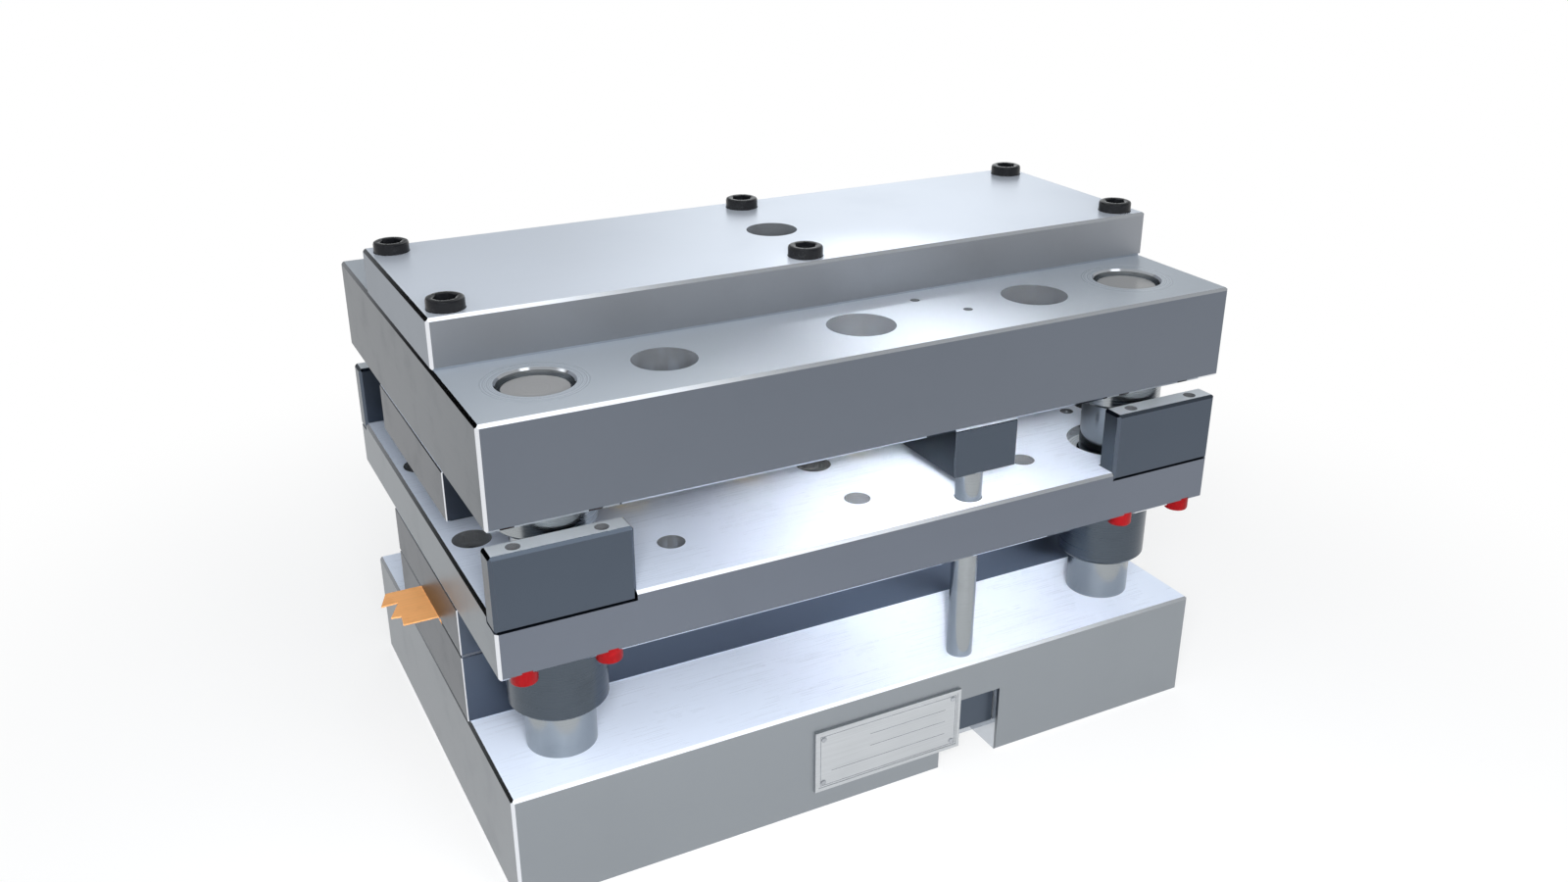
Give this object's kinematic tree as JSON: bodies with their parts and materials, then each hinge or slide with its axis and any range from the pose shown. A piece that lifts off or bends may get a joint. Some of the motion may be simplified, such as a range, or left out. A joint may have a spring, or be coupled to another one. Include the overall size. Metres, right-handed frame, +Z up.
{
  "type": "progressive die",
  "caption": "Progressive stamping die: guided upper and lower shoes, a spring-loaded stripper, punches and dies, with a narrow metal strip fed through the middle.",
  "frame": {"origin": "middle of the lower shoe's flat underside, without the strip's free end", "axes": "+X along the strip and the length of the plates, +Y to the back, +Z up along the press stroke"},
  "size_m": [0.434, 0.2719, 0.2834],
  "materials": {
    "lower_shoe_steel": "fine ground, bright",
    "shoe_steel": "fine ground",
    "clamp_plate_steel": "fine ground, bright",
    "die_plate_steel": "hardened and ground",
    "package_steel": "fine ground",
    "tool_steel": "ground and lapped",
    "ground_steel": "polished",
    "dark_steel": "hardened, dark, satin",
    "dark_bush_steel": "hardened, dark, turned",
    "black_oxide": "black oxide, satin",
    "red_screws": "red enamel",
    "spring_enamel": "yellow enamel",
    "copper_strip": "rolled copper alloy, satin",
    "tag_metal": "satin",
    "rivet_metal": "satin"
  },
  "bodies": {
    "lower_die": {"lower_shoe": "lower_shoe_steel", "die_plate": "die_plate_steel", "blanking_die": "tool_steel", "pierce_die_buttons": "tool_steel", "centre_die_button": "tool_steel", "side_die_buttons": "tool_steel", "stock_guide_pins": "ground_steel", "die_plate_screws": "black_oxide", "die_plate_dowels": "ground_steel", "guide_post_front_left": "ground_steel", "guide_post_front_right": "ground_steel", "guide_post_back_left": "ground_steel", "guide_post_back_right": "ground_steel", "sub_guide_pin": "ground_steel", "anchor_block": "dark_steel", "anchor_screws": "black_oxide", "name_plate": "tag_metal", "name_plate_rivets": "rivet_metal"},
    "strip": {"strip": "copper_strip"},
    "stripper": {"stripper_plate": "shoe_steel", "stripper_insert": "package_steel", "insert_screws": "black_oxide", "insert_dowels": "ground_steel", "stripper_bush_front_left": "dark_bush_steel", "stripper_bush_front_right": "dark_bush_steel", "stripper_bush_back_left": "dark_bush_steel", "stripper_bush_back_right": "dark_bush_steel", "stop_block_front_left": "dark_steel", "stop_block_front_right": "dark_steel", "stop_block_back_left": "dark_steel", "stop_block_back_right": "dark_steel", "stop_block_screws": "red_screws", "hanger_bolts": "black_oxide", "die_springs": "spring_enamel"},
    "upper_die": {"upper_shoe": "shoe_steel", "clamp_plate": "clamp_plate_steel", "clamp_screws": "black_oxide", "upper_bush_front_left": "ground_steel", "upper_bush_front_right": "ground_steel", "upper_bush_back_left": "ground_steel", "upper_bush_back_right": "ground_steel", "punch_plate": "package_steel", "punch_plate_screws": "black_oxide", "punch_plate_dowels": "ground_steel", "pierce_punches": "tool_steel", "centre_punch": "tool_steel", "side_punches": "tool_steel", "blanking_punch": "tool_steel", "pilots": "tool_steel", "sub_guide_block": "dark_steel", "sub_guide_screws": "black_oxide", "sub_guide_dowels": "ground_steel"}
  },
  "joints": [
    {"name": "die_opening", "type": "slide", "parent": "lower_die", "child": "stripper", "axis": [0, 0, 1], "range_m": [0, 0.03]},
    {"name": "press_stroke", "type": "slide", "parent": "stripper", "child": "upper_die", "axis": [0, 0, 1], "range_m": [-0.0115, 0], "stiffness_N_per_m": 200000, "springref_m": 0.005, "deforming": ["die_springs"]},
    {"name": "strip_feed", "type": "slide", "parent": "lower_die", "child": "strip", "axis": [1, 0, 0], "range_m": [-0.04, 0]}
  ]
}
